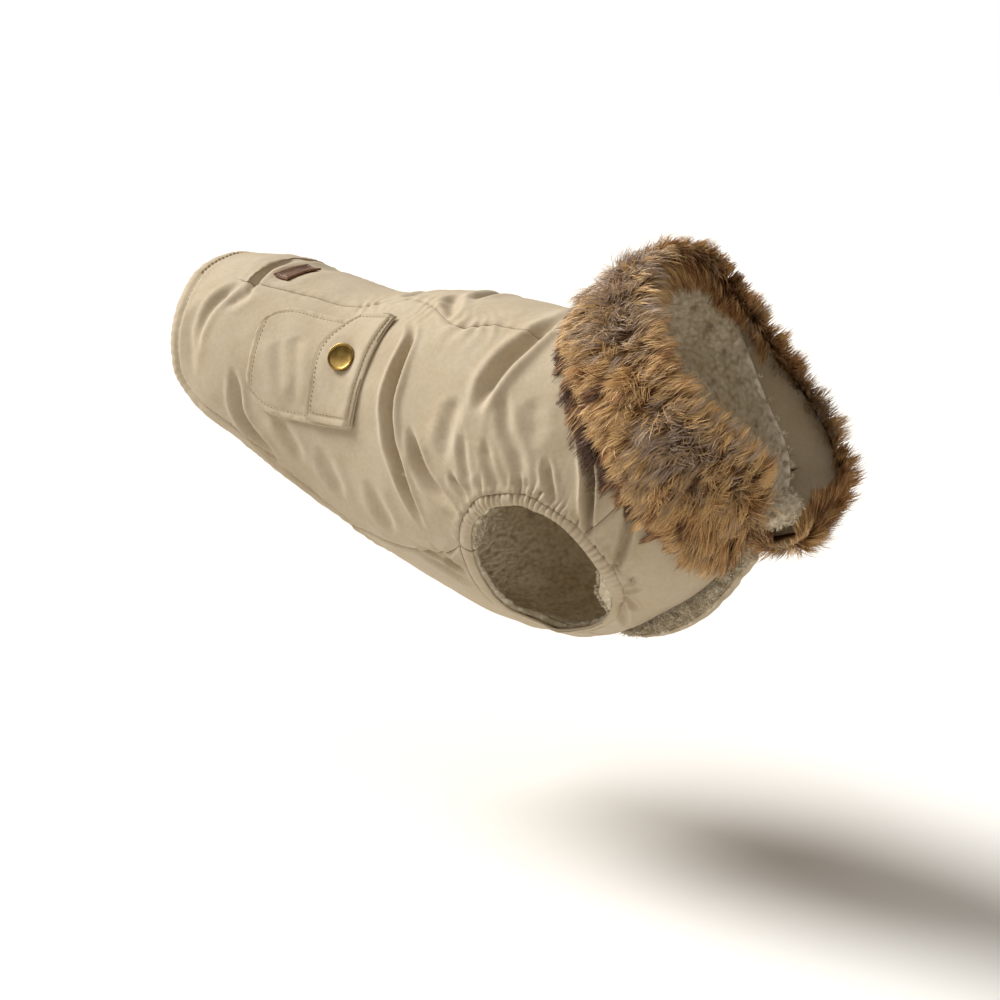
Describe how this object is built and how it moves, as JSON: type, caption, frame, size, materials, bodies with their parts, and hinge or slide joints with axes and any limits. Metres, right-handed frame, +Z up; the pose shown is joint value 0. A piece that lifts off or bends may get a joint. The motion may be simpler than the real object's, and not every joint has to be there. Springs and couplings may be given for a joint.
{
  "type": "dog coat",
  "caption": "Small dog's winter coat in twill with a sherpa lining, fur-faced standing collar, gathered armholes, a flap pocket with a snap and a blank leather patch.",
  "frame": {"origin": "on the lining's inner face, on the spine line at the withers, where the dog's back carries the coat", "axes": "+X to the dog's head, +Y to the dog's left, +Z up"},
  "size_m": [0.4168, 0.165, 0.2207],
  "materials": {
    "twill": "fine cotton twill, matt with a faint sheen on the folds",
    "sherpa": "curled sherpa pile, matt",
    "fur": "long golden-brown faux fur with grey-mauve roots and dark tips",
    "leather": "smooth brown leather, stitched round its edge",
    "brass": "aged antique brass, satin"
  },
  "bodies": {
    "root": {"tail_yoke": "twill", "back_panel": "twill", "side_panel_right": "twill", "side_panel_left": "twill", "belly_panel": "twill", "chest_panel_right": "twill", "chest_panel_left": "twill", "lining_tail_yoke": "sherpa", "lining_back_panel": "sherpa", "lining_side_panel_right": "sherpa", "lining_side_panel_left": "sherpa", "lining_belly_panel": "sherpa", "lining_chest_panel_right": "sherpa", "lining_chest_panel_left": "sherpa", "armhole_band_right": "twill", "armhole_facing_right": "sherpa", "armhole_band_left": "twill", "armhole_facing_left": "sherpa", "pocket_right": "twill", "pocket_flap_right": "twill", "snap_cap": "brass", "label_patch": "leather", "collar_shell": "twill", "collar_lining": "sherpa", "fur_trim": "fur", "front_roll_left": "sherpa"}
  },
  "joints": []
}
